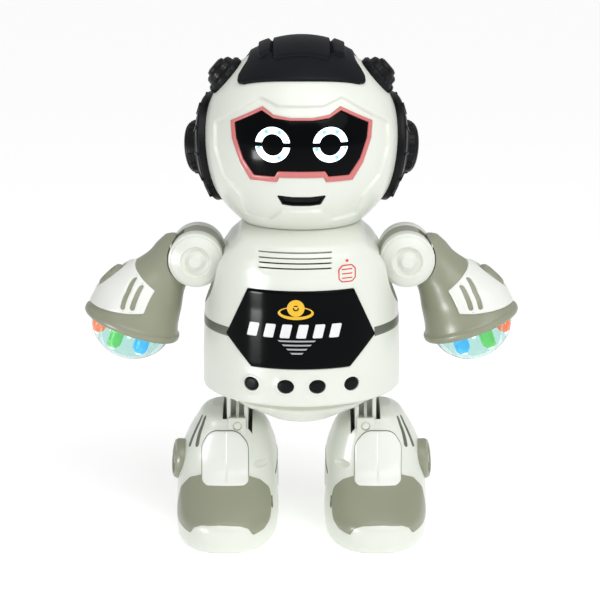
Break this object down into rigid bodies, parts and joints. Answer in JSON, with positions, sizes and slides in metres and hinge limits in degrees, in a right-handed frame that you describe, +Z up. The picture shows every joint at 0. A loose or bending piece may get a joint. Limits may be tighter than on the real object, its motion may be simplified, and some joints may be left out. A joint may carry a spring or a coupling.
{
  "type": "toy robot",
  "caption": "Toy robot with a ball head and dark visor, barrel torso with hexagonal chest panel, bell-shaped light-up arms, swaying boot legs and turning head.",
  "frame": {"origin": "centre of the footprint on the floor, under the middle of the overall box", "axes": "+Z up, the face looks along -Y, +X towards the arm on the right of the picture"},
  "size_m": [0.1954, 0.0914, 0.2261],
  "materials": {
    "ivory": "smooth ABS",
    "white": "smooth ABS",
    "olive": "smooth ABS",
    "stripe": "smooth ABS",
    "black_gloss": "mirror smooth",
    "charcoal": "satin",
    "coral": "satin",
    "steel": "brushed",
    "board": "solder mask",
    "lens": "clear, faceted inside",
    "light": "milky diffuser"
  },
  "bodies": {
    "torso": {"torso_front_shell": "ivory", "torso_rear_shell": "ivory", "waist_band": "stripe", "chest_panel": "black_gloss", "hip_base": "ivory", "speaker": "charcoal", "circuit_board": "board", "battery_box": "charcoal", "batteries": "steel", "motor": "steel", "gear_frame": "charcoal", "torso_screws": "steel", "neck_ring": "charcoal"},
    "door": {"battery_door": "ivory", "door_screw": "steel"},
    "switch": {"power_switch": "black_gloss"},
    "pinion": {"motor_pinion": "steel"},
    "gear": {"drive_gear": "white"},
    "head": {"head_front_shell": "ivory", "head_rear_shell": "ivory", "visor_border": "coral", "visor": "black_gloss", "eye_lights": "light", "mouth_insert": "black_gloss", "crown_cap": "charcoal", "ear_bases": "charcoal", "ear_hubs": "charcoal", "temple_knobs": "charcoal", "head_board": "board", "head_spindle": "ivory"},
    "button_1": {"button_1": "black_gloss"},
    "button_2": {"button_2": "black_gloss"},
    "button_3": {"button_3": "black_gloss"},
    "button_4": {"button_4": "black_gloss"},
    "shoulder_l": {"shoulder_hub_l": "olive", "shoulder_front_l": "ivory", "shoulder_rear_l": "ivory"},
    "arm_l": {"arm_shell_l": "olive", "arm_armour_l": "white", "arm_lens_l": "lens", "arm_lights_l": "light"},
    "strut_l": {"strut_l": "ivory"},
    "boot_l": {"boot_shell_l": "ivory", "toe_cap_l": "olive", "shin_panel_l": "white", "boot_badge_l": "olive", "sole_l": "charcoal"},
    "shoulder_r": {"shoulder_hub_r": "olive", "shoulder_front_r": "ivory", "shoulder_rear_r": "ivory"},
    "arm_r": {"arm_shell_r": "olive", "arm_armour_r": "white", "arm_lens_r": "lens", "arm_lights_r": "light"},
    "strut_r": {"strut_r": "ivory"},
    "boot_r": {"boot_shell_r": "ivory", "toe_cap_r": "olive", "shin_panel_r": "white", "boot_badge_r": "olive", "sole_r": "charcoal"}
  },
  "joints": [
    {"name": "head_turn", "type": "hinge", "parent": "torso", "child": "head", "pos_m": [0, 0, 0.1438], "axis": [0, 0, 1], "range_deg": [-40, 40]},
    {"name": "shoulder_swing_l", "type": "hinge", "parent": "torso", "child": "shoulder_l", "pos_m": [-0.034, 0, 0.1275], "axis": [-1, 0, 0], "range_deg": [-60, 90]},
    {"name": "arm_raise_l", "type": "hinge", "parent": "shoulder_l", "child": "arm_l", "pos_m": [-0.047, 0, 0.1275], "axis": [0, 1, 0], "range_deg": [-8, 50]},
    {"name": "shoulder_swing_r", "type": "hinge", "parent": "torso", "child": "shoulder_r", "pos_m": [0.034, 0, 0.1275], "axis": [-1, 0, 0], "range_deg": [-60, 90]},
    {"name": "arm_raise_r", "type": "hinge", "parent": "shoulder_r", "child": "arm_r", "pos_m": [0.047, 0, 0.1275], "axis": [0, -1, 0], "range_deg": [-8, 50]},
    {"name": "sway_l", "type": "hinge", "parent": "torso", "child": "strut_l", "pos_m": [-0.029, 0, 0.077], "axis": [0, 1, 0], "range_deg": [-8, 8]},
    {"name": "sway_r", "type": "hinge", "parent": "torso", "child": "strut_r", "pos_m": [0.029, 0, 0.077], "axis": [0, 1, 0], "range_deg": [-8, 8]},
    {"name": "ankle_l", "type": "hinge", "parent": "strut_l", "child": "boot_l", "pos_m": [-0.029, 0, 0.051], "axis": [0, 1, 0], "range_deg": [-8, 8]},
    {"name": "ankle_r", "type": "hinge", "parent": "strut_r", "child": "boot_r", "pos_m": [0.029, 0, 0.051], "axis": [0, 1, 0], "range_deg": [-8, 8]},
    {"name": "gear_spin", "type": "hinge", "parent": "torso", "child": "gear", "pos_m": [0, 0, 0.092], "axis": [0, 1, 0], "continuous": true},
    {"name": "pinion_spin", "type": "hinge", "parent": "torso", "child": "pinion", "pos_m": [0, 0, 0.11015], "axis": [0, 1, 0], "continuous": true},
    {"name": "press_1", "type": "slide", "parent": "torso", "child": "button_1", "axis": [0.4848, 0.8746, 0], "range_m": [0, 0.001], "stiffness_N_per_m": 400, "springref_m": -0.001},
    {"name": "press_2", "type": "slide", "parent": "torso", "child": "button_2", "axis": [0.153, 0.9882, 0], "range_m": [0, 0.001], "stiffness_N_per_m": 400, "springref_m": -0.001},
    {"name": "press_3", "type": "slide", "parent": "torso", "child": "button_3", "axis": [-0.153, 0.9882, 0], "range_m": [0, 0.001], "stiffness_N_per_m": 400, "springref_m": -0.001},
    {"name": "press_4", "type": "slide", "parent": "torso", "child": "button_4", "axis": [-0.4848, 0.8746, 0], "range_m": [0, 0.001], "stiffness_N_per_m": 400, "springref_m": -0.001},
    {"name": "power_slide", "type": "slide", "parent": "torso", "child": "switch", "axis": [1, 0, 0], "range_m": [-0.0035, 0.0035]},
    {"name": "door_off", "type": "slide", "parent": "torso", "child": "door", "axis": [0, 1, 0], "range_m": [0, 0.015]}
  ],
  "couplings": [
    {"joint": "sway_r", "follows": "sway_l", "ratio": 1},
    {"joint": "ankle_l", "follows": "sway_l", "ratio": -1},
    {"joint": "ankle_r", "follows": "sway_l", "ratio": -1},
    {"joint": "pinion_spin", "follows": "gear_spin", "ratio": -3.5}
  ]
}
